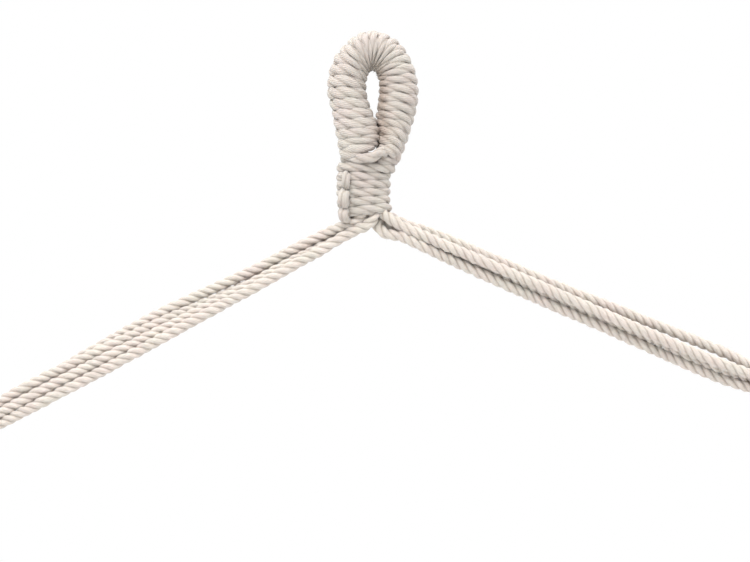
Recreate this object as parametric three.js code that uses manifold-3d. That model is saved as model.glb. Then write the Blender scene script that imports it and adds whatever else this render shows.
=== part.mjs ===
// Head of a hanging macrame planter: a cord-wrapped hanging eye, the bound neck under it, and the two
// four-cord legs that spread from the neck and end in wrapped gathering knots.
// Millimetres, +Z up, +X to the right, -Y to the front. The origin is the top of the eye's opening,
// where the hook bears.
import * as THREE from "three";
import { mergeVertices } from "three/addons/utils/BufferGeometryUtils.js";
import Module from "manifold-3d";

// Cord
const CORE_DIAMETER = 3.8; // a 5 mm cotton cord squeezed under a tight wrapping
const TAUT_DIAMETER = 4.3; // the same cord pulled taut in a leg
const GAP = 0.3; // clearance between neighbouring pieces

// Hanging eye
const EYE_WIDTH = 5.4; // widest part of the opening
const LIMB_WRAP = 4.3; // thickness of the cord wrapped round each limb
const EYE_BOTTOM = -38; // where the wrapping of the two limbs ends
const BEND_CLEARANCE = 1.1; // keeps the inside of the top bend open
const PARTING_WALL = 0.4; // thinnest wrapping between the two limbs

// Lashing and neck
const LASHING_HEIGHT = 4.4;
const NECK_HEIGHT = 22.6;
const NECK_SHIFT = -1.4; // the neck sits a little to the left of the eye
const NECK_WRAP = 2.8; // thickness of the binding
const CORE_STUB = 2; // core cord that shows under the neck
const SPINE_BUMPS = 5; // half-hitch knots in the column on the neck's front left corner
const SPINE_RADIUS = 3.4;
const SPINE_VALLEY = 2.6;
const SPINE_OUT = 0.8; // how far the column's centre stands outside the binding's left side

// Legs: how far each flexing point lies under the neck, and how steeply the leg falls
const LEFT_DROP = 7.6;
const RIGHT_DROP = 5.8;
const LEFT_SLOPE = 27.6;
const RIGHT_SLOPE = 22.6;
const KNOT_LENGTH = 24;
const KNOT_WRAP = 3.9;
const LEFT_KNOT_AT = 206; // distances along the leg from its flexing point
const RIGHT_KNOT_AT = 203;

// Each cord's route as [distance along the leg, rise above its axis, depth], front negative.
const LEFT_CORDS = [
  [[4.5, -1.1, -2.3], [12, -1.1, -2.5], [20, -0.8, -2.8], [36, -1.3, -3.4], [52, -1.9, -3.4],
    [66, -2.1, -3.2], [82, -2.4, -3.1], [97, -2.7, -3.0], [116, -3.1, -2.8], [135, -3.4, -2.4],
    [156, -3.4, -2.0], [177, -3.4, -1.6], [192, -3.1, 0.2], [204, -2.45, 2.4], [218, -2.45, 2.6],
    [232, -2.45, 2.6], [247, -3.4, 2.4]],
  [[4.5, 0.1, 2.4], [12, 0.2, 2.2], [20, 0.4, 1.9], [36, 0.7, 1.1], [52, 0.4, 1.1], [66, 0.3, 1.1],
    [82, 0.3, 0.9], [97, 0.4, 0.8], [116, 0.8, 0.2], [135, 1.2, -0.5], [156, 1.4, -0.5],
    [177, 1.4, -0.4], [192, 1.2, -0.6], [204, 1.0, -0.85], [218, 1.0, -0.85], [232, 1.0, -0.85],
    [245, 0.6, -1.9]],
  [[4.5, 4.0, 4.7], [12, 3.5, 5.5], [20, 2.5, 6.2], [36, 1.0, 6.0], [52, 0.8, 5.9], [66, 1.4, 5.9],
    [82, 2.4, 5.5], [97, 3.7, 4.9], [116, 4.7, 4.0], [135, 5.4, 3.0], [156, 6.2, 2.3],
    [177, 6.4, 1.8], [192, 5.4, 2.2], [204, 4.45, 2.6], [218, 4.45, 2.6], [232, 4.45, 2.6],
    [248, 5.4, 2.2]],
  [[4.5, 4.4, 0.0], [12, 4.9, 0.8], [20, 5.3, 2.3], [36, 5.5, 3.9], [52, 5.6, 5.0], [66, 6.3, 6.0],
    [82, 7.2, 6.7], [97, 8.0, 7.3], [116, 8.0, 7.6], [135, 7.4, 7.6], [156, 6.3, 7.1],
    [177, 4.8, 6.6], [192, 2.6, 6.3], [204, 1.0, 6.05], [218, 1.0, 6.05], [232, 1.0, 6.05],
    [244, 1.4, 7.1]],
];
const RIGHT_CORDS = [
  [[4.5, 3.4, -2.2], [12, 3.2, -2.4], [20, 3.0, -2.7], [31, 2.8, -3.0], [48, 2.6, -3.0],
    [64, 2.5, -2.9], [80, 2.3, -2.7], [93, 2.0, -2.7], [117, 1.6, -3.3], [136, 1.3, -3.5],
    [156, 1.1, -3.5], [175, 1.3, -3.1], [190, 1.9, -3.0], [202, 1.2, -2.85], [216, 1.2, -2.85],
    [230, 1.2, -2.85], [243, 0.8, -3.9]],
  [[4.5, 4.2, 2.6], [12, 4.7, 3.3], [20, 5.4, 3.9], [31, 6.0, 4.3], [48, 5.9, 4.4], [64, 5.7, 4.4],
    [80, 5.6, 4.4], [93, 5.6, 4.2], [117, 6.3, 3.6], [136, 6.5, 2.8], [156, 6.7, 1.8],
    [175, 6.7, 1.8], [190, 5.3, 1.1], [202, 4.65, 0.6], [216, 4.65, 0.6], [230, 4.65, 0.6],
    [245, 5.6, 0.3]],
  [[4.5, -0.7, 3.6], [12, -0.3, 3.1], [20, 0.5, 2.3], [31, 2.6, 1.4], [48, 1.8, 1.6],
    [64, 1.3, 1.6], [80, 0.8, 1.6], [93, 0.7, 1.8], [117, 0.5, 1.9], [136, 0.0, 1.7],
    [156, -0.6, 1.6], [175, -0.6, 1.6], [190, 0.3, 2.6], [202, 1.2, 4.05], [216, 1.2, 4.05],
    [230, 1.2, 4.05], [246, 1.5, 5.2]],
  [[4.5, -1.0, -1.4], [12, -1.3, -1.9], [20, -1.6, -2.1], [31, -2.1, -0.9], [48, -2.7, 0.2],
    [64, -3.2, 0.8], [80, -3.6, 1.3], [93, -3.8, 1.6], [117, -4.0, 2.2], [136, -4.5, 2.4],
    [156, -5.0, 2.5], [175, -5.0, 2.3], [190, -3.8, 1.4], [202, -2.25, 0.6], [216, -2.25, 0.6],
    [230, -2.25, 0.6], [244, -3.2, 0.9]],
];

// Worked out from the sizes above
const PITCH = CORE_DIAMETER + GAP; // core cords lie two by two in a limb, four by two in the neck
const BUNDLE_RADIUS = PITCH * Math.SQRT1_2 + CORE_DIAMETER / 2;
const LIMB_BORE = BUNDLE_RADIUS + GAP;
const LIMB_RADIUS = LIMB_BORE + LIMB_WRAP;
const EYE_HALF = EYE_WIDTH / 2 + LIMB_RADIUS; // eye's centre line at its widest
const SHOULDER = EYE_HALF ** 2 / (LIMB_RADIUS + BEND_CLEARANCE); // height of the elliptical top
const BASE_HALF = LIMB_BORE + PARTING_WALL; // eye's centre line where the wrapping ends
const LASHING_TOP = EYE_BOTTOM - GAP;
const LASHING_BOTTOM = LASHING_TOP - LASHING_HEIGHT;
const NECK_TOP = LASHING_BOTTOM - GAP;
const NECK_BOTTOM = NECK_TOP - NECK_HEIGHT;
const STUB_END = NECK_BOTTOM - CORE_STUB;

const wasm = await Module();
wasm.setup();

// Booleans on closed meshes
function loose(geometry) {
  return geometry.index ? geometry.toNonIndexed() : geometry.clone();
}

function solidOf(geometry) {
  const bare = new THREE.BufferGeometry();
  bare.setAttribute("position", loose(geometry).getAttribute("position"));
  const merged = mergeVertices(bare, 1e-4);
  const mesh = new wasm.Mesh({
    numProp: 3,
    vertProperties: merged.getAttribute("position").array,
    triVerts: new Uint32Array(merged.index.array),
  });
  return new wasm.Manifold(mesh);
}

function geometryOf(solid) {
  const mesh = solid.getMesh();
  const geometry = new THREE.BufferGeometry();
  geometry.setAttribute("position", new THREE.BufferAttribute(mesh.vertProperties, 3));
  geometry.setIndex(new THREE.BufferAttribute(mesh.triVerts, 1));
  geometry.computeVertexNormals();
  return geometry;
}

// The same closed geometry seen in a mirror across the YZ plane, its faces still pointing out.
function mirrored(geometry) {
  const flat = loose(geometry).scale(-1, 1, 1);
  const at = flat.getAttribute("position");
  const a = new THREE.Vector3();
  const b = new THREE.Vector3();
  for (let i = 0; i < at.count; i += 3) {
    a.fromBufferAttribute(at, i + 1);
    b.fromBufferAttribute(at, i + 2);
    at.setXYZ(i + 1, b.x, b.y, b.z);
    at.setXYZ(i + 2, a.x, a.y, a.z);
  }
  return flat;
}

// Outlines
function ring(radius, sides) {
  return Array.from({ length: sides }, (_, i) => {
    const angle = ((i + 0.5) / sides) * 2 * Math.PI;
    return new THREE.Vector2(radius * Math.cos(angle), radius * Math.sin(angle));
  });
}

// A box with round ends, halfWidth along X and halfDepth along Y.
function roundEnded(halfWidth, halfDepth, cornerRadius, stepsPerCorner) {
  const corners = [[1, 1, 0], [-1, 1, 90], [-1, -1, 180], [1, -1, 270]];
  return corners.flatMap(([sx, sy, start]) =>
    Array.from({ length: stepsPerCorner + 1 }, (_, i) => {
      const angle = THREE.MathUtils.degToRad(start + (90 * i) / stepsPerCorner);
      return new THREE.Vector2(
        sx * (halfWidth - cornerRadius) + cornerRadius * Math.cos(angle),
        sy * (halfDepth - cornerRadius) + cornerRadius * Math.sin(angle),
      );
    }),
  );
}

function hollow(outer, inner) {
  const shape = new THREE.Shape(outer);
  shape.holes.push(new THREE.Path(inner));
  return shape;
}

// A closed tube or sleeve along a curve.
function alongCurve(shape, curve, steps) {
  return new THREE.ExtrudeGeometry(shape, { steps, extrudePath: curve, bevelEnabled: false });
}

// An upright sleeve between two heights.
function upright(shape, top, bottom) {
  const settings = { depth: top - bottom, bevelEnabled: false };
  return new THREE.ExtrudeGeometry(shape, settings).translate(0, 0, bottom);
}

function smooth(points) {
  return new THREE.CatmullRomCurve3(points, false, "centripetal");
}

// The eye's centre line, right half: point and outward direction at part t of the way from the top
// of the bend (0) to the end of the wrapping (1).
function eyeLine(t) {
  const bendShare = 0.4;
  const widest = LIMB_RADIUS - SHOULDER;
  if (t < bendShare) {
    const angle = (Math.PI / 2) * (1 - t / bendShare);
    const out = new THREE.Vector2(Math.cos(angle) / EYE_HALF, Math.sin(angle) / SHOULDER).normalize();
    const x = EYE_HALF * Math.cos(angle);
    return { x, z: widest + SHOULDER * Math.sin(angle), outX: out.x, outZ: out.y };
  }
  const left = (1 - t) / (1 - bendShare);
  const swing = EYE_HALF - BASE_HALF;
  const height = widest - EYE_BOTTOM;
  const slope = (swing * Math.cos((left * Math.PI) / 2) * Math.PI) / 2 / height;
  const out = new THREE.Vector2(1, -slope).normalize();
  const x = BASE_HALF + swing * Math.sin((left * Math.PI) / 2);
  return { x, z: EYE_BOTTOM + left * height, outX: out.x, outZ: out.y };
}

// One core cord: up through the neck and the left limb, over the bend and down the other side.
function coreCord(outward, depth) {
  const steps = 16;
  const half = Array.from({ length: steps + 1 }, (_, i) => {
    const at = eyeLine(i / steps);
    return new THREE.Vector2(at.x + at.outX * outward, at.z + at.outZ * outward);
  });
  const down = (side) => {
    const neckX = NECK_SHIFT + side * (PITCH + outward);
    return [
      new THREE.Vector3(neckX, depth, NECK_TOP),
      new THREE.Vector3(neckX, depth, (NECK_TOP + NECK_BOTTOM) / 2),
      new THREE.Vector3(neckX, depth, STUB_END),
    ];
  };
  const limb = (side) => half.map((p) => new THREE.Vector3(side * p.x, depth, p.y));
  const points = [...down(-1).reverse(), ...limb(-1).reverse(), ...limb(1).slice(1), ...down(1)];
  return alongCurve(new THREE.Shape(ring(CORE_DIAMETER / 2, 8)), smooth(points), 56);
}

// The cord wound round the eye, as one sleeve. Its two limbs are pressed flat against each other
// under the opening.
function loopWrap() {
  const steps = 14;
  const line = Array.from({ length: 3 * steps + 1 }, (_, i) => {
    const at = eyeLine(i / (3 * steps));
    return new THREE.Vector3(at.x, 0, at.z);
  });
  const last = eyeLine(1);
  const spare = LIMB_RADIUS / 2; // the slanting end runs on, and is cut off level
  line.push(new THREE.Vector3(last.x + spare * last.outZ, 0, last.z - spare * last.outX));
  const section = hollow(ring(LIMB_RADIUS, 16), ring(LIMB_BORE, 12));
  const half = alongCurve(section, smooth(line), steps);
  const reach = 4 * LIMB_RADIUS;
  const otherLimb = new THREE.BoxGeometry(reach, reach, 2 * reach);
  otherLimb.translate((GAP - reach) / 2, 0, LIMB_RADIUS - SHOULDER - reach);
  const under = new THREE.BoxGeometry(2 * reach, reach, reach).translate(0, 0, EYE_BOTTOM - reach / 2);
  const cut = solidOf(half).subtract(solidOf(otherLimb)).subtract(solidOf(under));
  const right = geometryOf(cut);
  return geometryOf(solidOf(right).add(solidOf(mirrored(right))));
}

// The lashing that crosses the two limbs where the eye closes.
function crossLashing() {
  const innerX = BASE_HALF + PITCH / 2 + CORE_DIAMETER / 2 + GAP;
  const innerY = (PITCH + CORE_DIAMETER) / 2 + GAP;
  const outer = roundEnded(innerX + LIMB_WRAP, innerY + LIMB_WRAP, innerY + LIMB_WRAP, 5);
  const inner = roundEnded(innerX, innerY, innerY / 2, 3);
  return upright(hollow(outer, inner), LASHING_TOP, LASHING_BOTTOM);
}

// The binding of the neck with its column of half-hitch knots.
function neckWrap() {
  const innerX = 1.5 * PITCH + CORE_DIAMETER / 2 + GAP;
  const innerY = (PITCH + CORE_DIAMETER) / 2 + GAP;
  const outerX = innerX + NECK_WRAP;
  const outerY = innerY + NECK_WRAP;
  const outer = roundEnded(outerX, outerY, outerY * 0.8, 4);
  const inner = roundEnded(innerX, innerY, innerY / 2, 3);
  const sleeve = upright(hollow(outer, inner), NECK_TOP, NECK_BOTTOM).translate(NECK_SHIFT, 0, 0);
  const bump = NECK_HEIGHT / SPINE_BUMPS;
  const profile = [new THREE.Vector2(0, NECK_BOTTOM)];
  for (let i = 0; i < SPINE_BUMPS; i++) {
    const low = NECK_BOTTOM + i * bump;
    profile.push(new THREE.Vector2(SPINE_VALLEY, low));
    profile.push(new THREE.Vector2(SPINE_RADIUS, low + bump * 0.3));
    profile.push(new THREE.Vector2(SPINE_RADIUS, low + bump * 0.7));
  }
  profile.push(new THREE.Vector2(SPINE_VALLEY, NECK_TOP), new THREE.Vector2(0, NECK_TOP));
  const column = new THREE.LatheGeometry(profile, 10).rotateX(Math.PI / 2);
  // The lathe turns about Y; after the turn to Z it is moved to the front left corner.
  column.translate(NECK_SHIFT - outerX - SPINE_OUT, -outerY / 2, 0);
  return geometryOf(solidOf(sleeve).add(solidOf(column)));
}

// A leg's own frame: its flexing point, its direction and the upward direction square to it.
function legFrame(side, drop, slopeDegrees) {
  const slope = THREE.MathUtils.degToRad(slopeDegrees);
  return {
    pivot: new THREE.Vector3(NECK_SHIFT + side * PITCH, 0, NECK_BOTTOM - drop),
    along: new THREE.Vector3(side * Math.cos(slope), 0, -Math.sin(slope)),
    rise: new THREE.Vector3(side * Math.sin(slope), 0, Math.cos(slope)),
  };
}

function inLeg(frame, [along, rise, depth]) {
  const point = frame.pivot.clone().addScaledVector(frame.along, along);
  return point.addScaledVector(frame.rise, rise).setY(depth);
}

function legCord(frame, route) {
  const curve = smooth(route.map((p) => inLeg(frame, p)));
  return alongCurve(new THREE.Shape(ring(TAUT_DIAMETER / 2, 8)), curve, 24);
}

// A wrapped gathering knot round the four cords of a leg.
function gatheringKnot(frame, routes, start) {
  const inside = routes.map((route) => route.find(([along]) => along > start));
  const mean = (k) => inside.reduce((sum, p) => sum + p[k], 0) / inside.length;
  const offsets = inside.map((p) => Math.hypot(p[1] - mean(1), p[2] - mean(2)));
  const bore = Math.max(...offsets) + TAUT_DIAMETER / 2 + GAP;
  const ends = [start, start + KNOT_LENGTH];
  const [from, to] = ends.map((along) => inLeg(frame, [along, mean(1), mean(2)]));
  const section = hollow(ring(bore + KNOT_WRAP, 16), ring(bore, 12));
  return alongCurve(section, new THREE.LineCurve3(from, to), 1);
}

const cotton = { color: 0xebe0d4, roughness: 0.95, metalness: 0 };
const root = new THREE.Group();

function add(name, geometry) {
  const mesh = new THREE.Mesh(geometry, new THREE.MeshStandardMaterial(cotton));
  mesh.name = name;
  root.add(mesh);
}

let number = 0;
for (const outward of [PITCH / 2, -PITCH / 2]) {
  for (const depth of [-PITCH / 2, PITCH / 2]) {
    number += 1;
    add(`core_cord_${number}`, coreCord(outward, depth));
  }
}
add("loop_wrap", loopWrap());
add("cross_lashing", crossLashing());
add("neck_wrap", neckWrap());

const legs = [
  ["left", legFrame(-1, LEFT_DROP, LEFT_SLOPE), LEFT_CORDS, LEFT_KNOT_AT],
  ["right", legFrame(1, RIGHT_DROP, RIGHT_SLOPE), RIGHT_CORDS, RIGHT_KNOT_AT],
];
for (const [side, frame, routes, knotAt] of legs) {
  routes.forEach((route, i) => add(`${side}_cord_${i + 1}`, legCord(frame, route)));
  add(`${side}_gathering_knot`, gatheringKnot(frame, routes, knotAt));
}

export default root;
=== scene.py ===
"""Looks of the hanging macrame planter's head: twisted cotton rope round the frame that the CAD gives.

Every rope is one skin round three twisted strands. Lengths are in metres, in the CAD's frame.
"""
import math

import bpy
import numpy as np
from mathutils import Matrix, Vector


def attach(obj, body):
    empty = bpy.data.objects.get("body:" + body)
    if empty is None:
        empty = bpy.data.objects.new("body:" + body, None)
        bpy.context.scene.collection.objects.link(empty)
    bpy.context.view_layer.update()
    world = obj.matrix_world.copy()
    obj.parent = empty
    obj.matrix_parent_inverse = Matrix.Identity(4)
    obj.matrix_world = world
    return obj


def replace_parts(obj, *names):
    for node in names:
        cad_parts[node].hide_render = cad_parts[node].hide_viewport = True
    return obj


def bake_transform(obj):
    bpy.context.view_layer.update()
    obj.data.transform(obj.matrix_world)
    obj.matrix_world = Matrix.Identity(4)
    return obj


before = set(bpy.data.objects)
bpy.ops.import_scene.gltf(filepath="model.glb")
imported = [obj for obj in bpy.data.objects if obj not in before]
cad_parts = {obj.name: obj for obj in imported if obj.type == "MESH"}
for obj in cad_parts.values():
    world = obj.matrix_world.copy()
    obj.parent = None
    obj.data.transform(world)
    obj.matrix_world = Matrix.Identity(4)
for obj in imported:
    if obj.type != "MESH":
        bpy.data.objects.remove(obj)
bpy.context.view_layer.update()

FRONT = np.array([0.0, -1.0, 0.0])
UP = np.array([0.0, 0.0, 1.0])

CORD = 0.005  # across a twisted cord
LAY = 0.0145  # along the cord for one full turn of a strand
WRAP_LAY = 0.0225  # the same where the cord is wound tight and has opened a little
HITCH_LAY = 0.03  # the same in the neck's hitches
CORE_LAY = 0.011
KNOT_LAY = 0.012
SQUASH = 1.34  # how far neighbouring turns press into each other
CORE_CORD = 0.0038  # core cords squeezed inside the wrapping
KNOT_CORD = 0.0041  # the cord round each gathering knot
STEP = 0.0007  # along a rope between rings
STRAND_OFFSET = 0.43  # strand centre from the rope's centre, over the rope's radius
SOFT_OFFSET = 0.39  # the same where the cord is wound tight
SIDES = 36  # points round a rope
FIBRES = 1300  # stray fibres to the metre
FIBRE_LENGTH = (0.0006, 0.0020)
FIBRE_RADIUS = 0.00003
FRAY = 260  # yarn ends at a cut end
FRAY_LENGTH = (0.0013, 0.0029)
FRAY_RADIUS = 0.00013
FRAY_SPREAD = 0.36  # how far from the end's middle a yarn starts, over the cord's diameter
HAIR_HUMP = 0.7  # hairs take the colour of a strand this near its crown, clear of the painted shade between strands
UNROLLED = 0.9  # the skin's girth over a round cord's
MILLIMETRES = 1000  # the skin's places are in millimetres, so that textures read as real sizes
YARN_LEAN = 0.8  # 1 has the yarns lie straight along the rope, 0 along its strands
SLUB = 0.045  # how uneven the spinning is
GIRTH_DRIFT, GIRTH_WAVE = 0.015, 0.03  # a rope's slow change of thickness: share, metres along
TWIST_DRIFT, TWIST_WAVE = 0.05, 0.06  # its slow change of twist: turns, metres along
SWELL_DRIFT, SWELL_WAVE = 0.03, 0.022  # how each strand of it swells: share, metres along
SHADE_DRIFT, SHADE_WAVE = 0.6, 0.045  # its slow change of colour
FULLNESS = 1.07  # a leg cord's girth over its nominal girth


# ---------------------------------------------------------------- curves


def through(knots, values):
    """A smooth function through a row of values at each knot, level beyond the first and last."""
    knots = np.asarray(knots, float)
    values = np.asarray(values, float).reshape(len(knots), -1)
    slopes = np.gradient(values, knots, axis=0)

    def at(t):
        t = np.clip(np.atleast_1d(t), knots[0], knots[-1])
        i = np.clip(np.searchsorted(knots, t, side="right") - 1, 0, len(knots) - 2)
        h = (knots[i + 1] - knots[i])[:, None]
        u = (t - knots[i])[:, None] / h
        start = (2 * u**3 - 3 * u**2 + 1) * values[i] + (u**3 - 2 * u**2 + u) * h * slopes[i]
        end = (3 * u**2 - 2 * u**3) * values[i + 1] + (u**3 - u**2) * h * slopes[i + 1]
        return start + end

    return at


def lengths_along(points):
    """Distance along a line to each of its points."""
    gaps = np.linalg.norm(np.diff(points, axis=0), axis=1)
    return np.concatenate([[0.0], np.cumsum(gaps)])


def smooth_line(points, per_gap=24):
    """A dense line on one smooth curve through given points."""
    points = np.asarray(points, float)
    knots = lengths_along(points)
    return through(knots, points)(np.linspace(0, knots[-1], per_gap * len(points)))


def even(points, *along, step=STEP):
    """The line with equal steps, and each list that goes with it, at the same places."""
    at = lengths_along(points)
    wanted = np.linspace(0, at[-1], max(8, int(round(at[-1] / step)) + 1))
    result = []
    for rows in (points, *along):
        rows = np.asarray(rows, float)
        columns = rows.reshape(len(rows), -1).T
        even_rows = np.stack([np.interp(wanted, at, column) for column in columns], axis=1)
        result.append(even_rows if rows.ndim > 1 else even_rows[:, 0])
    return result if along else result[0]


def unit(rows):
    """Each row made one long."""
    return rows / np.maximum(np.linalg.norm(rows, axis=-1, keepdims=True), 1e-12)


def carried(tangents):
    """Normals that turn as little as possible along a line."""
    normal = np.cross(tangents[0], FRONT if abs(tangents[0] @ FRONT) < 0.9 else UP)
    normals = []
    for tangent in tangents:
        normal = normal - tangent * (normal @ tangent)
        normal = normal / np.linalg.norm(normal)
        normals.append(normal)
    return np.array(normals)


def wobble(rng, along, wavelength):
    """Slow uneven change along a rope, about -1 to 1."""
    total = np.zeros_like(along)
    for share in (1.0, 0.62, 0.37):  # three waves that never fall in step
        phase = rng.uniform(0, 2 * math.pi)
        total += np.sin(2 * math.pi * along / (wavelength * share) + phase)
    return total / 2


# ---------------------------------------------------------------- rope


def strand_profile(angles, offset):
    """Distance of the skin from the rope's centre, over its radius, for three strands."""
    reach = np.zeros_like(angles)
    for strand in range(3):
        off = angles - (strand + 0.5) * 2 * math.pi / 3
        inside = (1 - offset) ** 2 - (offset * np.sin(off)) ** 2
        out = offset * np.cos(off) + np.sqrt(np.maximum(inside, 0))
        reach = np.maximum(reach, np.where(inside > 0, out, 0))
    return reach


def strand_of(sides):
    """Which strand each point round a rope belongs to."""
    return (np.arange(sides) * 3 // sides) % 3


def slubs(rng, count, sides):
    """Uneven spinning: soft lumps a few rings long and a few points wide."""
    rows, columns = count // 4 + 3, sides // 3
    grid = rng.uniform(-1, 1, (rows, columns))
    grid = np.concatenate([grid, grid[:, :1]], axis=1)
    at = np.linspace(0, columns, sides, endpoint=False)
    left = at.astype(int)
    share = at - left
    across = grid[:, left] * (1 - share) + grid[:, left + 1] * share
    places = np.linspace(0, rows - 1, count)
    low = np.minimum(places.astype(int), rows - 2)
    mix = (places - low)[:, None]
    mix = mix * mix * (3 - 2 * mix)
    return across[low] * (1 - mix) + across[low + 1] * mix


SHADE_PATCHES = [  # painted shade: darker, browner patches where the limbs and the bend shade each other: middle, reach each way, strength
    ((0.0045, -0.003, -0.012), (0.0030, 0.008, 0.014), 1.0),
    ((0.0048, -0.006, -0.029), (0.0050, 0.006, 0.006), 0.7),
    ((0.0010, -0.004, 0.001), (0.0040, 0.010, 0.005), 0.6),
]


def shaded(points):
    """How much each point lies in a patch of painted shade, 0 to 1."""
    total = np.zeros(len(points))
    for middle, reach, strength in SHADE_PATCHES:
        off = (points - np.array(middle)) / np.array(reach)
        total += strength * np.exp(-np.sum(off * off, axis=1))
    return np.clip(total, 0, 1)


def stray_fibres(rng, roots, outs, lengths=FIBRE_LENGTH, radius=FIBRE_RADIUS):
    """Fine fibres that stand out of the yarn: three-sided, curved and tapering to a point."""
    count = len(roots)
    first = unit(outs * 0.7 + unit(rng.normal(size=(count, 3))))
    second = unit(first + 0.9 * unit(rng.normal(size=(count, 3))))
    length = rng.uniform(*lengths, (count, 1)) / 3
    spine = [roots - 0.0001 * outs]
    for way in (first, unit(first + second), second):
        spine.append(spine[-1] + way * length)
    side = unit(np.cross(first, unit(rng.normal(size=(count, 3)))))
    other = np.cross(first, side)
    levels = []
    for centre, thick in zip(spine, (1.0, 0.85, 0.6)):
        for corner in range(3):
            a = 2 * math.pi * corner / 3
            levels.append(centre + radius * thick * (math.cos(a) * side + math.sin(a) * other))
    vertices = np.stack([*levels, spine[-1]], axis=1).reshape(-1, 3)
    shape = []
    for level in (0, 3):
        for corner in range(3):
            here, beside = level + corner, level + (corner + 1) % 3
            shape += [(here, beside, beside + 3), (here, beside + 3, here + 3)]
    shape += [(6, 7, 9), (7, 8, 9), (8, 6, 9)]
    faces = np.array(shape)[None] + 10 * np.arange(count)[:, None, None]
    return vertices, faces.reshape(-1, 3)


def ring_frames(line, along, outward):
    """The way along the rope at each ring centre, the way outward and the way sideways."""
    tangents = unit(np.gradient(line, along, axis=0))
    normals = carried(tangents) if outward is None else np.asarray(outward, float)
    normals = unit(normals - tangents * np.sum(normals * tangents, axis=1, keepdims=True))
    return tangents, normals, np.cross(tangents, normals)


def skin_reach(rng, along, profile, hump, diameter, lay, turn):
    """How far the skin stands from each ring's centre, and how far each ring is turned."""
    radius = diameter / 2 * (1 + GIRTH_DRIFT * wobble(rng, along, GIRTH_WAVE))
    closing = np.clip(np.minimum(along, along[-1] - along) / (diameter / 2), 0, 1)
    radius = radius * np.sqrt(np.clip(1 - (1 - closing) ** 2, 0, 1))
    twist = turn + 2 * math.pi * (along / lay + TWIST_DRIFT * wobble(rng, along, TWIST_WAVE))
    swell = np.stack([SWELL_DRIFT * wobble(rng, along, SWELL_WAVE) for _ in range(3)], axis=1)
    reach = radius[:, None] * profile[None, :] * (1 + swell[:, strand_of(len(profile))] * hump)
    reach *= 1 + SLUB * slubs(rng, len(along), len(profile))
    return reach, twist


def skin_faces(rows, sides):
    """Quads between the rings, and a fan at each end round a point of its own."""
    i, j = np.meshgrid(np.arange(rows - 1), np.arange(sides), indexing="ij")
    k = (j + 1) % sides
    quads = np.stack([i * sides + j, i * sides + k, (i + 1) * sides + k, (i + 1) * sides + j], -1)
    around = np.arange(sides)
    beside = (around + 1) % sides
    first, tail = rows * sides, (rows - 1) * sides
    start_fan = np.stack([np.full(sides, first), beside, around], 1)
    end_fan = np.stack([np.full(sides, first + 1), tail + around, tail + beside], 1)
    return quads.reshape(-1, 4), np.concatenate([start_fan, end_fan])


def skin_uv(along, sides, girth, lay):
    """Places on the unrolled skin for the corners of its quads, leaned to follow the yarns."""
    i, j = np.meshgrid(np.arange(len(along) - 1), np.arange(sides), indexing="ij")
    v = np.stack([along[i], along[i], along[i + 1], along[i + 1]], -1)
    u = np.stack([j, j + 1, j + 1, j], -1) / sides * girth + YARN_LEAN * girth / lay * v
    return np.stack([u, v], -1).reshape(-1, 2)


def rope_hairs(rng, rings, line, tangents, diameter, count, frayed):
    """Stray fibres all over the skin and, at a frayed end, the ends of its yarns."""
    sides = rings.shape[1]
    picked = rng.integers(0, rings.shape[0] * sides, count)
    crowns = rings.reshape(-1, 3)[picked]
    hairs, faces = stray_fibres(rng, crowns, unit(crowns - line[1:-1][picked // sides]))
    if frayed:
        spread = unit(rng.normal(size=(FRAY, 3))) * rng.uniform(0, FRAY_SPREAD * diameter, (FRAY, 1))
        ways = unit(2 * tangents[-1] + spread / diameter)
        yarns, yarn_faces = stray_fibres(rng, line[-3] + spread, ways, FRAY_LENGTH, FRAY_RADIUS)
        faces = np.concatenate([faces, yarn_faces + len(hairs)])
        hairs = np.concatenate([hairs, yarns])
    return hairs, faces


def point_values(mesh, **layers):
    for name, values in layers.items():
        mesh.attributes.new(name, "FLOAT", "POINT").data.foreach_set("value", values)


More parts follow.
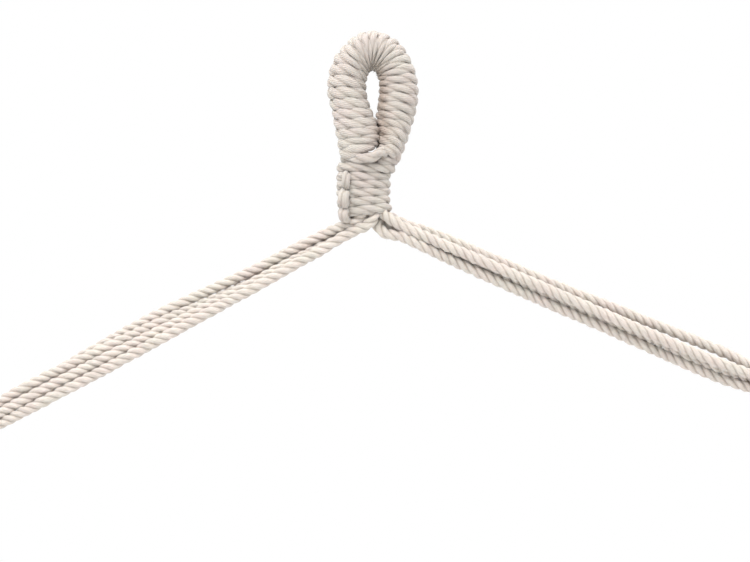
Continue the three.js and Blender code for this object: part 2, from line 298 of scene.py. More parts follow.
def rope(name, line, body, slot, diameter=CORD, outward=None, wide=1.0, tall=1.0, lay=LAY,
         turn=0.0, seed=1, sides=SIDES, soft=False, fibres=FIBRES, frayed=False):
    """One twisted rope round a line of ring centres."""
    rng = np.random.default_rng(seed)
    line = np.asarray(line, float)
    along = lengths_along(line)
    tangents, normals, sideways = ring_frames(line, along, outward)
    angles = np.arange(sides) * 2 * math.pi / sides
    profile = strand_profile(angles, SOFT_OFFSET if soft else STRAND_OFFSET)
    # how near each point lies to a strand's crown; the materials paint shade where it is low
    hump = (profile - profile.min()) / (1 - profile.min())
    reach, twist = skin_reach(rng, along, profile, hump, diameter, lay, turn)
    turned = angles[None, :] + twist[:, None]
    tall_part = (np.broadcast_to(tall, len(line))[:, None] * reach * np.cos(turned))[..., None]
    wide_part = (np.broadcast_to(wide, len(line))[:, None] * reach * np.sin(turned))[..., None]
    rings = line[:, None] + tall_part * normals[:, None] + wide_part * sideways[:, None]
    rings, along = rings[1:-1], along[1:-1]

    skin = np.concatenate([rings.reshape(-1, 3), line[:1], line[-1:]])
    quads, fans = skin_faces(len(rings), sides)
    hairs, hair_faces = rope_hairs(rng, rings, line, tangents, diameter, int(fibres * along[-1]), frayed)
    triangles = np.concatenate([fans, hair_faces + len(skin)])
    vertices = np.concatenate([skin, hairs])
    mesh = bpy.data.meshes.new(name)
    mesh.from_pydata(vertices.tolist(), [], quads.tolist() + triangles.tolist())
    mesh.polygons.foreach_set("use_smooth", [True] * len(mesh.polygons))

    flat = skin_uv(along, sides, math.pi * diameter * UNROLLED, lay)
    uv = np.concatenate([flat, np.zeros((3 * len(triangles), 2))]) * MILLIMETRES
    mesh.uv_layers.new(name="rope").data.foreach_set("uv", uv.ravel())
    no_shade = np.zeros(2 + len(hairs))
    strand_shade = rng.uniform(-1, 1, 3)[strand_of(sides)]
    drift = SHADE_DRIFT * wobble(rng, along, SHADE_WAVE)
    shade = (strand_shade[None, :] / 2 + drift[:, None]).ravel()
    humps = np.concatenate([np.tile(hump, len(rings)), no_shade + HAIR_HUMP])
    # the first layer marks patches of painted shade; hump places painted shade between the strands
    point_values(mesh, dusk=shaded(vertices), hump=humps, shade=np.concatenate([shade, no_shade]))
    mesh.update()
    mesh.validate()
    return placed(name, mesh, body, slot)


def placed(name, mesh, body, slot):
    """The piece in the scene, with its material, riding on a body if one is given."""
    piece = bpy.data.objects.new(name, mesh)
    bpy.context.scene.collection.objects.link(piece)
    mesh.materials.append(MATERIALS[slot])
    if body:
        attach(piece, body)
    return piece


# ---------------------------------------------------------------- materials


def node(tree, kind, **values):
    """A new node, with its settings and its input values by name."""
    made = tree.nodes.new(kind)
    for key, value in values.items():
        if hasattr(made, key):
            setattr(made, key, value)
        else:
            made.inputs[key.replace("_", " ")].default_value = value
    return made


def times_plus(tree, factor, scale, plus):
    """factor * scale + plus, where plus is a number or another output."""
    made = node(tree, "ShaderNodeMath", operation="MULTIPLY_ADD")
    tree.links.new(factor, made.inputs[0])
    made.inputs[1].default_value = scale
    if isinstance(plus, float):
        made.inputs[2].default_value = plus
    else:
        tree.links.new(plus, made.inputs[2])
    return made.outputs["Value"]


def attribute(tree, name):
    return node(tree, "ShaderNodeAttribute", attribute_name=name).outputs["Fac"]


def ramp(tree, factor, low, low_colour, high, high_colour):
    """A colour that goes from one to another between two places of the factor."""
    made = node(tree, "ShaderNodeValToRGB")
    for element, place, colour in zip(made.color_ramp.elements, (low, high), (low_colour, high_colour)):
        element.position = place
        element.color = (*colour, 1)
    tree.links.new(factor, made.inputs["Fac"])
    return made.outputs["Color"]


def multiplied(tree, first, second, factor=None):
    """Two colours multiplied, by a factor where one is given."""
    made = node(tree, "ShaderNodeMix", data_type="RGBA", blend_type="MULTIPLY", Factor=1.0)
    if factor is not None:
        tree.links.new(factor, made.inputs["Factor"])
    for socket, colour in (("A", first), ("B", second)):
        if isinstance(colour, tuple):
            made.inputs[socket].default_value = (*colour, 1)
        else:
            tree.links.new(colour, made.inputs[socket])
    return made.outputs["Result"]


def spun_patterns(tree):
    """Yarns, the fibres drawn out along them, fine fuzz, and a slow unevenness of colour."""
    link = tree.links.new
    uv = node(tree, "ShaderNodeUVMap", uv_map="rope")
    place = node(tree, "ShaderNodeTexCoord")
    # yarns lie nearly along the rope, so they run slantwise over each strand
    yarns = node(tree, "ShaderNodeTexWave", Scale=0.5, Distortion=3.2, Detail=3.0, Detail_Scale=0.8)
    link(uv.outputs["UV"], yarns.inputs["Vector"])
    stretch = node(tree, "ShaderNodeMapping", Scale=(1.7, 0.35, 1))
    link(uv.outputs["UV"], stretch.inputs["Vector"])
    fibres = node(tree, "ShaderNodeTexNoise", Scale=1.0, Detail=5.0, Roughness=0.68)
    link(stretch.outputs["Vector"], fibres.inputs["Vector"])
    fuzz = node(tree, "ShaderNodeTexNoise", Scale=2600.0, Detail=3.0, Roughness=0.7)
    link(place.outputs["Object"], fuzz.inputs["Vector"])
    mottle = node(tree, "ShaderNodeTexNoise", Scale=95.0, Detail=3.0, Roughness=0.5)
    link(place.outputs["Object"], mottle.inputs["Vector"])
    return [pattern.outputs["Fac"] for pattern in (yarns, fibres, fuzz, mottle)]


def cotton_colour(tree, light, groove_shade, yarns, fibres, mottle):
    """Painted shade, browner, between the strands and in patches where the limbs shade each other;
    streaked by yarns and fibres, mottled.
    """
    # painted shade: the colour darkens and browns towards the grooves between strands
    depth = ramp(tree, attribute(tree, "hump"), 0.0, groove_shade, 0.55, light)
    tone = times_plus(tree, attribute(tree, "shade"), 0.035, 0.66)
    lines = times_plus(tree, yarns, 0.10, tone)
    streaks = times_plus(tree, fibres, STREAK, lines)
    lit = node(tree, "ShaderNodeVectorMath", operation="SCALE")
    tree.links.new(depth, lit.inputs[0])
    tree.links.new(streaks, lit.inputs["Scale"])
    # painted shade: patches where the limbs shade each other are multiplied darker and browner
    patch_shaded = multiplied(tree, lit.outputs["Vector"], SHADE_PATCH_TINT, attribute(tree, "dusk"))
    cast = ramp(tree, mottle, 0.36, PINK_CAST, 0.64, GREEN_CAST)
    return multiplied(tree, patch_shaded, cast)


def cotton_bump(tree, yarns, fibres, fuzz):
    coarse = times_plus(tree, fibres, 1.5, yarns)
    height = times_plus(tree, fuzz, 0.5, coarse)
    bump = node(tree, "ShaderNodeBump", Strength=0.8, Distance=0.0003)
    tree.links.new(height, bump.inputs["Height"])
    return bump.outputs["Normal"]


STREAK = 0.56  # how much the fibres' pattern lightens and darkens the colour
# the colour that the patches of painted shade are multiplied by
SHADE_PATCH_TINT = (0.74, 0.66, 0.60)
PINK_CAST, GREEN_CAST = (1.0, 0.965, 0.955), (0.975, 0.99, 0.955)


def cotton(name, light, groove_shade):
    """Spun cotton: light on the strands' crowns, with painted shade between them."""
    material = bpy.data.materials.new(name)
    material.use_nodes = True
    tree = material.node_tree
    shader = tree.nodes["Principled BSDF"]
    shader.inputs["Roughness"].default_value = 0.92
    shader.inputs["Specular IOR Level"].default_value = 0.2
    shader.inputs["Sheen Weight"].default_value = 0.18
    shader.inputs["Sheen Roughness"].default_value = 0.6
    shader.inputs["Subsurface Weight"].default_value = 0.25
    shader.inputs["Subsurface Radius"].default_value = (1.0, 0.75, 0.55)
    shader.inputs["Subsurface Scale"].default_value = 0.0008
    yarns, fibres, fuzz, mottle = spun_patterns(tree)
    colour = cotton_colour(tree, light, groove_shade, yarns, fibres, mottle)
    tree.links.new(colour, shader.inputs["Base Color"])
    tree.links.new(cotton_bump(tree, yarns, fibres, fuzz), shader.inputs["Normal"])
    return material


MATERIALS = {
    "core_cord": cotton("core_cotton", (0.66, 0.60, 0.55), (0.48, 0.41, 0.35)),
    # the wrapping's cotton is the leg cotton made darker: painted shade
    "wrap_cord": cotton("wrap_cotton", (0.470, 0.432, 0.404), (0.385, 0.340, 0.305)),
    "leg_cord": cotton("leg_cotton", (0.580, 0.531, 0.494), (0.44, 0.386, 0.342)),
}


# ---------------------------------------------------------------- eye

EYE_DEPTH = 0.0068  # cord centres of the eye's wrapping, from its middle to the front
EYE_TURNS = 27.9
EYE_INSET = 0.47 * CORD  # cord centres inside the edges given below
EYE_POINTS = 72  # to the turn
NARROWEST, WIDEST = 0.35, 1.3  # how far a turn can be squeezed or spread, over its own width
WRAP_HEIGHT = 0.95  # a wrapping's cord stands a little flatter than a free one
EYE_STATIONS = [  # turns so far, outer edge x and z, inner edge x and z, how far the front leads
    (0.0, -0.0146, -0.0424, 0.0030, -0.0336, 0.0),
    (1.2, -0.0159, -0.0364, 0.0042, -0.0303, -0.0003),
    (2.7, -0.0173, -0.0290, 0.0032, -0.0252, -0.0006),
    (4.0, -0.0185, -0.0228, 0.0010, -0.0204, -0.0002),
    (4.85, -0.0191, -0.0191, -0.0006, -0.0170, 0.0),
    (6.65, -0.0212, -0.0098, -0.0025, -0.0089, 0.0006),
    (7.55, -0.0211, -0.0050, -0.0024, -0.0052, 0.0011),
    (8.3, -0.0205, -0.0005, -0.0019, -0.0030, 0.0016),
    (10.15, -0.0159, 0.0093, -0.0008, -0.0007, 0.0021),
    (11.65, -0.0093, 0.0159, -0.0002, -0.0001, 0.0020),
    (13.25, -0.0009, 0.0190, 0.0003, 0.0002, 0.0015),
    (14.75, 0.0075, 0.0173, 0.0010, -0.0004, 0.0008),
    (16.65, 0.0154, 0.0103, 0.0021, -0.0019, 0.0001),
    (18.65, 0.0205, 0.0005, 0.0029, -0.0057, -0.0004),
    (20.75, 0.0219, -0.0098, 0.0028, -0.0121, -0.0004),
    (22.75, 0.0205, -0.0196, 0.0017, -0.0197, -0.0006),
    (24.7, 0.0182, -0.0285, 0.0018, -0.0265, -0.0008),
    (26.2, 0.0160, -0.0350, 0.0018, -0.0330, -0.0010),
    (27.2, 0.0143, -0.0392, 0.0020, -0.0370, -0.0010),
    (27.9, 0.0136, -0.0418, 0.0024, -0.0395, -0.0008),
]
EYE_LEAN = [(0, -0.0020), (4, -0.0010), (7, 0), (13, 0), (20, 0.0002), (24, 0.0014), (26, 0.0008),
            (27.9, -0.0010)]  # turns, y
eye_edges = through([row[0] for row in EYE_STATIONS], [row[1:] for row in EYE_STATIONS])
eye_lean = through([row[0] for row in EYE_LEAN], [row[1] for row in EYE_LEAN])


def eye_place(turns, angle):
    """Cord centre and outward direction; angle 0 is the eye's outside, 90 degrees its front."""
    edges = eye_edges(turns)
    outer, inner, lead = edges[:, :2], edges[:, 2:4], edges[:, 4:]
    across = np.linalg.norm(outer - inner, axis=1, keepdims=True)
    out = np.stack([(outer - inner)[:, 0], 0 * turns, (outer - inner)[:, 1]], 1) / across
    onward = np.cross(out, FRONT)
    middle = np.stack([(outer + inner)[:, 0] / 2, eye_lean(turns)[:, 0], (outer + inner)[:, 1] / 2], 1)
    half = across / 2 - EYE_INSET
    c, s = np.cos(angle)[:, None], np.sin(angle)[:, None]
    centre = middle + half * c * out + EYE_DEPTH * s * FRONT + lead * s * s * onward
    normal = unit(c / half * out + s / EYE_DEPTH * FRONT)
    return centre, normal


def eye_wrapping():
    """One cord wound round both limbs; each turn is as wide as its distance from the next turns."""
    turns = np.linspace(0, EYE_TURNS, int(EYE_TURNS * EYE_POINTS))
    angle = math.pi - 2 * math.pi * turns
    centre, normal = eye_place(turns, angle)
    before, _ = eye_place(turns - 0.5, angle)
    after, _ = eye_place(turns + 0.5, angle)
    pitch = np.linalg.norm(after - before, axis=1)
    pitch = np.where((turns < 0.5) | (turns > EYE_TURNS - 0.5), 2 * pitch, pitch)
    wide = np.clip(SQUASH * pitch / CORD, NARROWEST, WIDEST)
    tall = WRAP_HEIGHT + 0.1 * (1 - wide)
    line, normal, wide, tall = even(centre, normal, wide, tall)
    return rope("eye_wrapping", line, "head", "wrap_cord", outward=normal, wide=wide, tall=tall, seed=11,
                lay=WRAP_LAY, soft=True)


eye = eye_wrapping()
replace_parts(eye, "loop_wrap")


# ---------------------------------------------------------------- lashing across the eye's foot

LASHING = [
    (0.0066, 0.0010, -0.0392), (0.0060, -0.0042, -0.0388), (0.0046, -0.0082, -0.0386),
    (0.0028, -0.0099, -0.0393), (0.0002, -0.0104, -0.0410), (-0.0042, -0.0095, -0.0413),
    (-0.0085, -0.0062, -0.0411), (-0.0118, -0.0020, -0.0412), (-0.0124, 0.0030, -0.0408),
    (-0.0090, 0.0074, -0.0398), (-0.0020, 0.0092, -0.0394), (0.0050, 0.0082, -0.0400),
    (0.0095, 0.0040, -0.0410), (0.0098, -0.0012, -0.0420), (0.0070, -0.0050, -0.0421),
    (0.0020, -0.0050, -0.0415),
]
LASHING_MIDDLE = (-0.001, 0.0, -0.04)


def lashing():
    """The cord that leaves the right limb at the front, goes round both limbs and tucks in again."""
    line = even(smooth_line(LASHING))
    outward = (line - np.array(LASHING_MIDDLE)) * (1, 1, 0.3)
    return rope("foot_lashing", line, "head", "wrap_cord", outward=outward, tall=WRAP_HEIGHT, seed=12,
                lay=WRAP_LAY, soft=True)


foot = lashing()
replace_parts(foot, "cross_lashing")


# ---------------------------------------------------------------- neck

NECK_TURNS = [  # height, middle x, half width, half depth, slope up to the right in degrees
    (-0.0453, -0.0028, 0.0116, 0.0070, -1),
    (-0.0494, -0.0040, 0.0105, 0.0062, 1),
    (-0.0532, -0.0041, 0.0105, 0.0060, 2),
    (-0.0571, -0.0041, 0.0104, 0.0060, 3),
    (-0.0610, -0.0040, 0.0104, 0.0060, 5),
    (-0.0650, -0.0034, 0.0104, 0.0060, 7),
]
DROP_FROM, DROP_TO = 40, 190  # degrees round from the right, behind, where each turn steps down
TURN_FROM, TURN_TO = -135, 170  # what each turn keeps of a full circle, before it steps down
NECK_LEAD = [(0.0030, 0.0060, -0.0415), (-0.0050, 0.0070, -0.0428), (-0.0110, 0.0056, -0.0442)]
NECK_TUCK = [(-0.0090, 0.0020, -0.0655), (-0.0040, 0.0010, -0.0640)]
SPINE = [  # the hitches down the neck's front left: how thick, and the way that each goes
    (0.0042, [(-0.0116, -0.0010, -0.0490), (-0.0119, -0.0068, -0.0493), (-0.0120, -0.0082, -0.0505),
              (-0.0120, -0.0082, -0.0524), (-0.0120, -0.0068, -0.0536), (-0.0118, -0.0010, -0.0540)]),
    (0.0056, [(-0.0122, -0.0010, -0.0576), (-0.0127, -0.0070, -0.0580), (-0.0129, -0.0088, -0.0592),
              (-0.0129, -0.0088, -0.0608), (-0.0127, -0.0070, -0.0620), (-0.0122, -0.0010, -0.0623)]),
    (0.0052, [(-0.0120, -0.0010, -0.0660), (-0.0128, -0.0062, -0.0662), (-0.0131, -0.0074, -0.0670),
              (-0.0129, -0.0072, -0.0682), (-0.0124, -0.0056, -0.0690), (-0.0116, -0.0010, -0.0692)]),
]


def neck_turn(here, following, degrees):
    """Points of one turn round the neck, which steps down behind towards the turn that follows."""
    drop = np.clip((degrees - DROP_FROM) / (DROP_TO - DROP_FROM), 0, 1)
    drop = (drop * drop * (3 - 2 * drop))[:, None]
    height, middle, half_width, half_depth, slope = (here * (1 - drop) + following * drop).T
    angle = np.radians(degrees)
    across = half_width * np.cos(angle)
    rise = np.tan(np.radians(slope)) * across
    return np.stack([middle + across, half_depth * np.sin(angle), height + rise], 1)


def neck_wrapping():
    """The cord that binds the neck, from behind the eye's foot down to where it tucks in."""
    rows = np.array(NECK_TURNS)
    points = [np.array(NECK_LEAD)]
    for turn, here in enumerate(rows):
        last = turn == len(rows) - 1
        begin = TURN_FROM if turn else TURN_FROM - 60
        end = TURN_TO if last else TURN_FROM + 360
        points.append(neck_turn(here, here if last else rows[turn + 1], np.arange(begin, end, 9.0)))
    points.append(np.array(NECK_TUCK))
    line = even(smooth_line(np.concatenate(points), 8))
    outward = (line - np.array([-0.003, 0, 0])) * (1, 1, 0)
    return rope("neck_wrapping", line, "head", "wrap_cord", outward=outward, wide=1.02, tall=WRAP_HEIGHT,
                seed=13, lay=WRAP_LAY, soft=True)


def hitch(number, thick, way):
    """One knot of the column: the cord passes over itself from behind to behind."""
    line = even(smooth_line(way))
    outward = np.broadcast_to(FRONT, line.shape)
    return rope(f"neck_hitch_{number}", line, "head", "wrap_cord", diameter=thick, outward=outward,
                seed=14 + number, lay=HITCH_LAY, turn=0.4 * number, soft=True)


hitches = [hitch(number, *row) for number, row in enumerate(SPINE, 1)]
for piece in (neck_wrapping(), *hitches):
    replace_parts(piece, "neck_wrap")


# ---------------------------------------------------------------- core cords

CORE_PITCH = 0.0041
NECK_SHIFT = -0.0014  # the neck sits a little to the left of the eye
CORE_FEET = (-0.062, -0.053, -0.044)  # heights of the straight part in the neck
CORE_MARGIN = 1.2  # turns of the eye at each foot that the core bends through freely


def core_cord(number, outward, depth):
    """One hidden cord: up the neck and the left limb, over the bend and down the right limb."""
    turns = np.linspace(CORE_MARGIN, EYE_TURNS - CORE_MARGIN, 60)
    edges = eye_edges(turns)
    outer, inner = edges[:, :2], edges[:, 2:4]
    out = unit(outer - inner)
    middle = (outer + inner) / 2 + out * outward
    limb = np.stack([middle[:, 0], eye_lean(turns)[:, 0] + depth, middle[:, 1]], 1)
    feet = []
    for side in (-1, 1):
        x = NECK_SHIFT + side * (CORE_PITCH + outward)
        feet.append(np.array([(x, depth, z) for z in CORE_FEET]))
    line = even(smooth_line(np.concatenate([feet[0], limb, feet[1][::-1]]), 8), step=0.0012)
    name = f"core_rope_{number}"
    return rope(name, line, "head", "core_cord", diameter=CORE_CORD, lay=CORE_LAY, seed=20 + number,
                sides=24, fibres=0)


CORE_PLACES = [(out * CORE_PITCH / 2, back * CORE_PITCH / 2) for out in (-1, 1) for back in (-1, 1)]
for number, (outward, depth) in enumerate(CORE_PLACES, 1):
    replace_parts(core_cord(number, outward, depth), f"core_cord_{number}")


# ---------------------------------------------------------------- legs

# Each route point is (along the leg, towards its upper side, towards the back).
LEFT_CORDS = [
    [
        (0.0045, -0.0011, -0.0023), (0.012, -0.0011, -0.0025), (0.02, -0.0008, -0.0028),
        (0.036, -0.0013, -0.0034), (0.052, -0.0019, -0.0034), (0.066, -0.0021, -0.0032),
        (0.082, -0.0024, -0.0031), (0.097, -0.0027, -0.003), (0.116, -0.0031, -0.0028),
        (0.135, -0.0034, -0.0024), (0.156, -0.0034, -0.002), (0.177, -0.0034, -0.0016),
        (0.192, -0.0031, 0.0002), (0.204, -0.00245, 0.0024), (0.218, -0.00245, 0.0026),
        (0.232, -0.00245, 0.0026), (0.247, -0.0034, 0.0024),
    ],
    [
        (0.0045, 0.0001, 0.0024), (0.012, 0.0002, 0.0022), (0.02, 0.0004, 0.0019),
        (0.036, 0.0007, 0.0011), (0.052, 0.0004, 0.0011), (0.066, 0.0003, 0.0011),
        (0.082, 0.0003, 0.0009), (0.097, 0.0004, 0.0008), (0.116, 0.0008, 0.0002),
        (0.135, 0.0012, -0.0005), (0.156, 0.0014, -0.0005), (0.177, 0.0014, -0.0004),
        (0.192, 0.0012, -0.0006), (0.204, 0.001, -0.00085), (0.218, 0.001, -0.00085),
        (0.232, 0.001, -0.00085), (0.245, 0.0006, -0.0019),
    ],
    [
        (0.0045, 0.004, 0.0047), (0.012, 0.0035, 0.0055), (0.02, 0.0025, 0.0062),
        (0.036, 0.001, 0.006), (0.052, 0.0008, 0.0059), (0.066, 0.0014, 0.0059),
        (0.082, 0.0024, 0.0055), (0.097, 0.0037, 0.0049), (0.116, 0.0047, 0.004),
        (0.135, 0.0054, 0.003), (0.156, 0.0062, 0.0023), (0.177, 0.0064, 0.0018),
        (0.192, 0.0054, 0.0022), (0.204, 0.00445, 0.0026), (0.218, 0.00445, 0.0026),
        (0.232, 0.00445, 0.0026), (0.248, 0.0054, 0.0022),
    ],
    [
        (0.0045, 0.0044, 0), (0.012, 0.0049, 0.0008), (0.02, 0.0053, 0.0023),
        (0.036, 0.0055, 0.0039), (0.052, 0.0056, 0.005), (0.066, 0.0063, 0.006),
        (0.082, 0.0072, 0.0067), (0.097, 0.008, 0.0073), (0.116, 0.008, 0.0076),
        (0.135, 0.0074, 0.0076), (0.156, 0.0063, 0.0071), (0.177, 0.0048, 0.0066),
        (0.192, 0.0026, 0.0063), (0.204, 0.001, 0.00605), (0.218, 0.001, 0.00605),
        (0.232, 0.001, 0.00605), (0.244, 0.0014, 0.0071),
    ],
]
RIGHT_CORDS = [
    [
        (0.0045, 0.0034, -0.0022), (0.012, 0.0032, -0.0024), (0.02, 0.003, -0.0027),
        (0.031, 0.0028, -0.003), (0.048, 0.0026, -0.003), (0.064, 0.0025, -0.0029),
        (0.08, 0.0023, -0.0027), (0.093, 0.002, -0.0027), (0.117, 0.0016, -0.0033),
        (0.136, 0.0013, -0.0035), (0.156, 0.0011, -0.0035), (0.175, 0.0013, -0.0031),
        (0.19, 0.0019, -0.003), (0.202, 0.0012, -0.00285), (0.216, 0.0012, -0.00285),
        (0.23, 0.0012, -0.00285), (0.243, 0.0008, -0.0039),
    ],
    [
        (0.0045, 0.0042, 0.0026), (0.012, 0.0047, 0.0033), (0.02, 0.0054, 0.0039),
        (0.031, 0.006, 0.0043), (0.048, 0.0059, 0.0044), (0.064, 0.0057, 0.0044),
        (0.08, 0.0056, 0.0044), (0.093, 0.0056, 0.0042), (0.117, 0.0063, 0.0036),
        (0.136, 0.0065, 0.0028), (0.156, 0.0067, 0.0018), (0.175, 0.0067, 0.0018),
        (0.19, 0.0053, 0.0011), (0.202, 0.00465, 0.0006), (0.216, 0.00465, 0.0006),
        (0.23, 0.00465, 0.0006), (0.245, 0.0056, 0.0003),
    ],
    [
        (0.0045, -0.0007, 0.0036), (0.012, -0.0003, 0.0031), (0.02, 0.0005, 0.0023),
        (0.031, 0.0026, 0.0014), (0.048, 0.0018, 0.0016), (0.064, 0.0013, 0.0016),
        (0.08, 0.0008, 0.0016), (0.093, 0.0007, 0.0018), (0.117, 0.0005, 0.0019),
        (0.136, 0.0, 0.0017), (0.156, -0.0006, 0.0016), (0.175, -0.0006, 0.0016),
        (0.19, 0.0003, 0.0026), (0.202, 0.0012, 0.00405), (0.216, 0.0012, 0.00405),
        (0.23, 0.0012, 0.00405), (0.246, 0.0015, 0.0052),
    ],
    [
        (0.0045, -0.001, -0.0014), (0.012, -0.0013, -0.0019), (0.02, -0.0016, -0.0021),
        (0.031, -0.0021, -0.0009), (0.048, -0.0027, 0.0002), (0.064, -0.0032, 0.0008),
        (0.08, -0.0036, 0.0013), (0.093, -0.0038, 0.0016), (0.117, -0.004, 0.0022),
        (0.136, -0.0045, 0.0024), (0.156, -0.005, 0.0025), (0.175, -0.005, 0.0023),
        (0.19, -0.0038, 0.0014), (0.202, -0.00225, 0.0006), (0.216, -0.00225, 0.0006),
        (0.23, -0.00225, 0.0006), (0.244, -0.0032, 0.0009),
    ],
]
LEFT_STARTS = [  # each cord's way out of the neck, then the route point that it joins
    ([(0.0020, -0.0022, -0.0585), (0.0018, -0.0032, -0.0640), (0.0003, -0.0040, -0.0695),
      (-0.0025, -0.0044, -0.0723), (-0.0062, -0.0042, -0.0738), (-0.0106, -0.0036, -0.0759)], 2),
    ([(0.0002, 0.0022, -0.0590), (-0.0002, 0.0024, -0.0645), (-0.0014, 0.0026, -0.0683),
      (-0.0040, 0.0026, -0.0715)], 1),
    ([(-0.0050, 0.0024, -0.0590), (-0.0058, 0.0028, -0.0640), (-0.0076, 0.0034, -0.0675),
      (-0.0108, 0.0042, -0.0702)], 1),
    ([(-0.0024, -0.0024, -0.0585), (-0.0029, -0.0032, -0.0634), (-0.0043, -0.0034, -0.0677),
      (-0.0078, -0.0030, -0.0702), (-0.0138, -0.0014, -0.0726)], 2),
]
RIGHT_STARTS = [
    ([(0.0026, -0.0010, -0.0575), (0.0032, -0.0014, -0.0625), (0.0052, -0.0026, -0.0664),
      (0.0090, -0.0030, -0.0697)], 1),
    ([(0.0026, 0.0018, -0.0575), (0.0033, 0.0022, -0.0625), (0.0054, 0.0032, -0.0664),
      (0.0092, 0.0038, -0.0686)], 1),
    ([(0.0012, 0.0030, -0.0590), (0.0018, 0.0034, -0.0650), (0.0034, 0.0036, -0.0688),
      (0.0066, 0.0034, -0.0718)], 1),
    ([(0.0016, 0.0010, -0.0595), (0.0016, 0.0008, -0.0658), (0.0021, 0.0002, -0.0706),
      (0.0037, -0.0008, -0.0740), (0.0069, -0.0015, -0.0761)], 1),
]
LEGS = {  # side, pivot, slope in degrees, routes, starts, knot's place along the leg, its middle
    "left": (-1, (-0.0055, 0.0, -0.0732), 27.6, LEFT_CORDS, LEFT_STARTS, 0.206, (0.0010, 0.0026)),
    "right": (1, (0.0027, 0.0, -0.0714), 22.6, RIGHT_CORDS, RIGHT_STARTS, 0.203, (0.0012, 0.0006)),
}
KNOT_TURNS = 5
KNOT_RADIUS = 0.0078
KNOT_PITCH = 0.0041
KNOT_TAIL, KNOT_TUCK = 0.35, 0.0030  # turns past the last whole one, and how far in they go


def leg_axes(side, slope):
    """The ways along a leg and towards its upper side."""
    angle = math.radians(slope)
    along = np.array([side * math.cos(angle), 0, -math.sin(angle)])
    rise = np.array([side * math.sin(angle), 0, math.cos(angle)])
    return along, rise


def in_leg(pivot, axes, point):
    """A route point in the CAD's frame."""
    along, rise, depth = point
    return np.array(pivot) + along * axes[0] + rise * axes[1] + depth * np.array([0, 1, 0])


def knot(name, side, pivot, axes, at, middle):
    """A cord wound round the leg's four cords, its ends tucked under its own turns."""
    turns = np.linspace(-KNOT_TAIL, KNOT_TURNS + KNOT_TAIL, 60 * KNOT_TURNS)
    tucked = np.clip(np.maximum(-turns, turns - KNOT_TURNS) / KNOT_TAIL, 0, 1)
    radius = KNOT_RADIUS - KNOT_TUCK * tucked
    place = np.clip(turns, 0, KNOT_TURNS) - KNOT_TURNS / 2
    angle = 2 * math.pi * turns
    points, outs = [], []
    for p, r, a in zip(place, radius, angle):
        out = math.cos(a) * axes[1] + side * math.sin(a) * np.array([0, 1, 0])
        centre = in_leg(pivot, axes, (at + p * KNOT_PITCH, *middle))
        points.append(centre + r * out)
        outs.append(out)
    line, outs = even(np.array(points), np.array(outs))
    return rope(name, line, None, "leg_cord", diameter=KNOT_CORD, outward=outs, lay=KNOT_LAY,
                seed=60 + side)


def leg_cord(leg, number, start, route, pivot, axes):
    """One free cord: out of the neck, along its leg, through the gathering knot to a frayed end."""
    inside, joins = start
    points = [np.array(p) for p in inside] + [in_leg(pivot, axes, p) for p in route[joins:]]
    line = even(smooth_line(points))
    name = f"{leg}_rope_{number}"
    piece = rope(name, line, None, "leg_cord", diameter=CORD * FULLNESS,
                 seed=30 + number + 5 * (leg == "right"), turn=number, frayed=True)
    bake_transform(piece)
    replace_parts(piece, f"{leg}_cord_{number}")
    return piece


for leg, (side, pivot, slope, routes, starts, knot_at, knot_middle) in LEGS.items():
    axes = leg_axes(side, slope)
    winding = knot(f"{leg}_knot_winding", side, pivot, axes, knot_at, knot_middle)
    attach(winding, f"{leg}_leg")
    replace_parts(winding, f"{leg}_gathering_knot")
    for number, (start, route) in enumerate(zip(starts, routes), 1):
        leg_cord(leg, number, start, route, pivot, axes)


# ---------------------------------------------------------------- stage, light, camera

VIEW_WIDTH = 0.350  # what the camera takes in, in the object's plane
VIEW_MIDDLE = (0.0014, -0.0981)
CAMERA_DISTANCE = 0.9
SENSOR = 36.0
FLOOR_HEIGHT = -0.45
FLOOR_HALF = 1.2
FLOOR_COLOUR = (0.72, 0.72, 0.715)
SKY = 2.2  # how bright the studio is overhead, over its brightness at eye level
SKY_FROM, SKY_TO = 0.15, 0.9  # heights of view between which it brightens
KEY_PLACE, KEY_TARGET = (-0.28, -0.90, 1.10), (0, 0, -0.08)
KEY_SIZE, KEY_WATTS, KEY_COLOUR = 0.7, 19, (1.0, 0.985, 0.965)


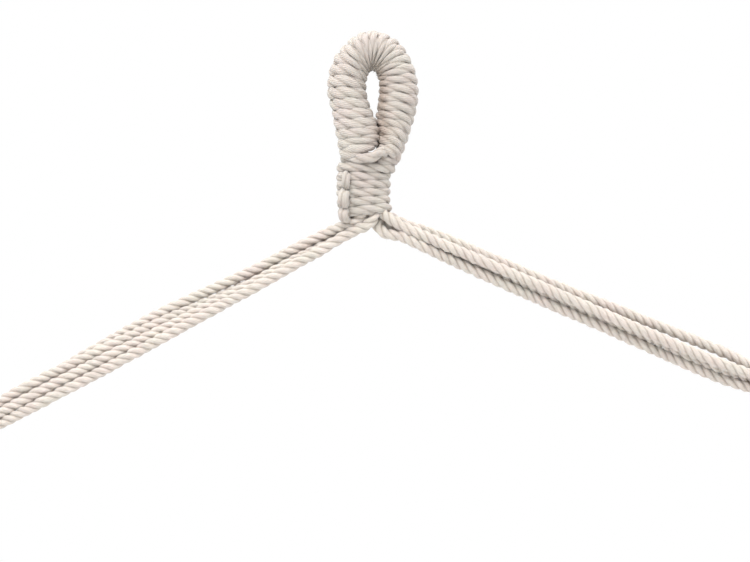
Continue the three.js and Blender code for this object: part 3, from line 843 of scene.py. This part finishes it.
def floor():
    mesh = bpy.data.meshes.new("studio_floor")
    h, z = FLOOR_HALF, FLOOR_HEIGHT
    mesh.from_pydata([(-h, -h, z), (h, -h, z), (h, h, z), (-h, h, z)], [], [(0, 1, 2, 3)])
    material = bpy.data.materials.new("pale_floor")
    material.use_nodes = True
    shader = material.node_tree.nodes["Principled BSDF"]
    shader.inputs["Base Color"].default_value = (*FLOOR_COLOUR, 1)
    shader.inputs["Roughness"].default_value = 0.7
    mesh.materials.append(material)
    made = bpy.data.objects.new("studio_floor", mesh)
    bpy.context.scene.collection.objects.link(made)


def area_light(name, place, target, size, watts, colour):
    data = bpy.data.lights.new(name, "AREA")
    data.size = size
    data.energy = watts
    data.color = colour
    made = bpy.data.objects.new(name, data)
    made.location = place
    toward = np.array(target) - np.array(place)
    made.rotation_euler = Vector(toward).to_track_quat("-Z", "Y").to_euler()
    bpy.context.scene.collection.objects.link(made)


def studio():
    """Soft white light from all round, brighter from overhead, and one key light."""
    world = bpy.data.worlds.new("studio")
    world.use_nodes = True
    tree = world.node_tree
    way = node(tree, "ShaderNodeTexCoord")
    height = node(tree, "ShaderNodeSeparateXYZ")
    tree.links.new(way.outputs["Generated"], height.inputs["Vector"])
    glow = node(tree, "ShaderNodeMapRange")
    for key, value in (("From Min", SKY_FROM), ("From Max", SKY_TO), ("To Min", 1.0), ("To Max", SKY)):
        glow.inputs[key].default_value = value
    tree.links.new(height.outputs["Z"], glow.inputs["Value"])
    tree.links.new(glow.outputs["Result"], tree.nodes["Background"].inputs["Strength"])
    tree.nodes["Background"].inputs["Color"].default_value = (1, 1, 1, 1)
    bpy.context.scene.world = world
    area_light("key", KEY_PLACE, KEY_TARGET, KEY_SIZE, KEY_WATTS, KEY_COLOUR)
    bpy.context.scene.view_settings.view_transform = "Standard"


def camera():
    """Level, straight in front."""
    data = bpy.data.cameras.new("camera")
    data.sensor_width = SENSOR
    data.lens = SENSOR * CAMERA_DISTANCE / VIEW_WIDTH
    made = bpy.data.objects.new("camera", data)
    made.location = (VIEW_MIDDLE[0], -CAMERA_DISTANCE, VIEW_MIDDLE[1])
    made.rotation_euler = (math.pi / 2, 0, 0)
    bpy.context.scene.collection.objects.link(made)
    bpy.context.scene.camera = made


floor()
studio()
camera()
